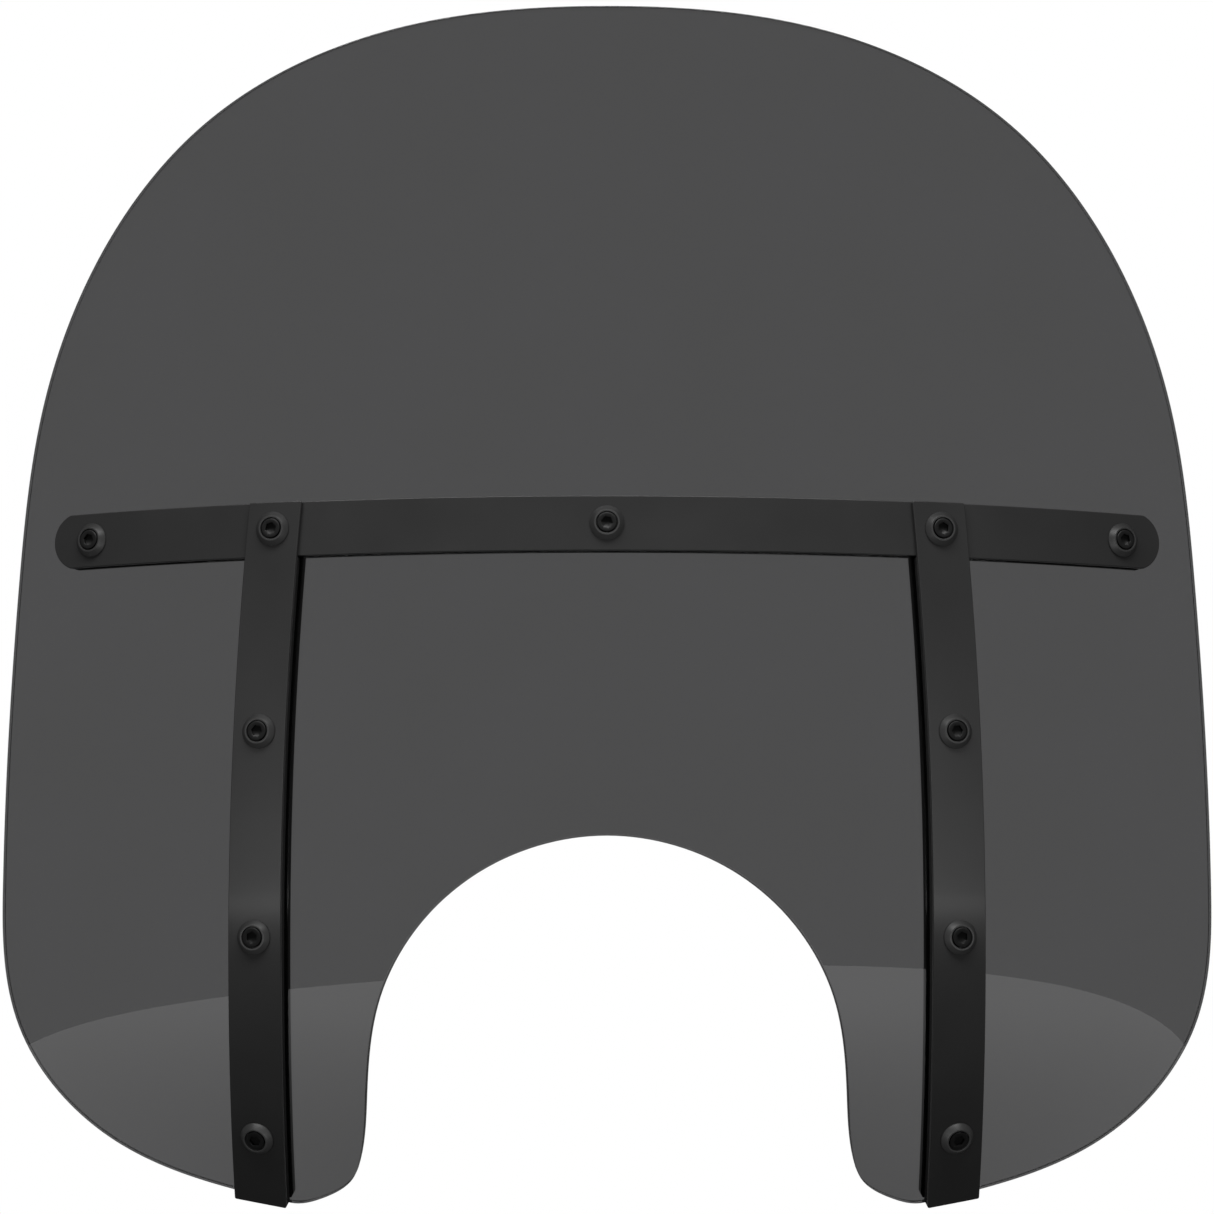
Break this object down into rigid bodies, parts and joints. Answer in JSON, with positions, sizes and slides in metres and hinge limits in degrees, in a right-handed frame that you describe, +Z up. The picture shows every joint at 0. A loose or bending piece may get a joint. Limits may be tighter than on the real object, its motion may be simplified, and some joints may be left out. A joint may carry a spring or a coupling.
{
  "type": "windshield screen",
  "caption": "Smoked motorcycle windshield with a domed top, headlight cutout and curled lower ears, clamped between black flat bars front and rear.",
  "frame": {"origin": "on the plane of symmetry, in the middle of the four bracket studs behind the posts", "axes": "+Z up, +X to the right seen from the front, +Y to the rear, towards the rider; the convex front faces -Y and leans back at the top"},
  "size_m": [0.5732, 0.1005, 0.562],
  "materials": {
    "smoked_screen": "polished smoked sheet, thermoformed",
    "bar_black": "satin black powder coat",
    "cup_black": "satin black plating",
    "screw_black": "black oxide",
    "nut_black": "satin black plating",
    "tape": "matt vinyl strip",
    "bushing": "matt"
  },
  "bodies": {
    "root": {"cap_nut_crossbar_center": "nut_black", "cap_nut_crossbar_end_left": "nut_black", "cap_nut_crossbar_end_right": "nut_black", "cap_nut_junction_left": "nut_black", "cap_nut_junction_right": "nut_black", "cap_nut_post_upper_left": "nut_black", "cap_nut_post_upper_right": "nut_black", "cup_washer_crossbar_center": "cup_black", "cup_washer_crossbar_end_left": "cup_black", "cup_washer_crossbar_end_right": "cup_black", "cup_washer_junction_left": "cup_black", "cup_washer_junction_right": "cup_black", "cup_washer_post_lower_left": "cup_black", "cup_washer_post_lower_right": "cup_black", "cup_washer_post_middle_left": "cup_black", "cup_washer_post_middle_right": "cup_black", "cup_washer_post_upper_left": "cup_black", "cup_washer_post_upper_right": "cup_black", "front_crossbar": "bar_black", "front_crossbar_tape": "tape", "front_post_left": "bar_black", "front_post_right": "bar_black", "front_post_tape_left": "tape", "front_post_tape_right": "tape", "panel_bushings": "bushing", "rear_crossbar": "bar_black", "rear_crossbar_tape": "tape", "rear_post_left": "bar_black", "rear_post_right": "bar_black", "rear_post_tape_left": "tape", "rear_post_tape_right": "tape", "rear_washers": "nut_black", "screw_crossbar_center": "screw_black", "screw_crossbar_end_left": "screw_black", "screw_crossbar_end_right": "screw_black", "screw_junction_left": "screw_black", "screw_junction_right": "screw_black", "screw_post_lower_left": "screw_black", "screw_post_lower_right": "screw_black", "screw_post_middle_left": "screw_black", "screw_post_middle_right": "screw_black", "screw_post_upper_left": "screw_black", "screw_post_upper_right": "screw_black", "thin_nut_post_lower_left": "nut_black", "thin_nut_post_lower_right": "nut_black", "thin_nut_post_middle_left": "nut_black", "thin_nut_post_middle_right": "nut_black", "windshield_panel": "smoked_screen"}
  },
  "joints": []
}
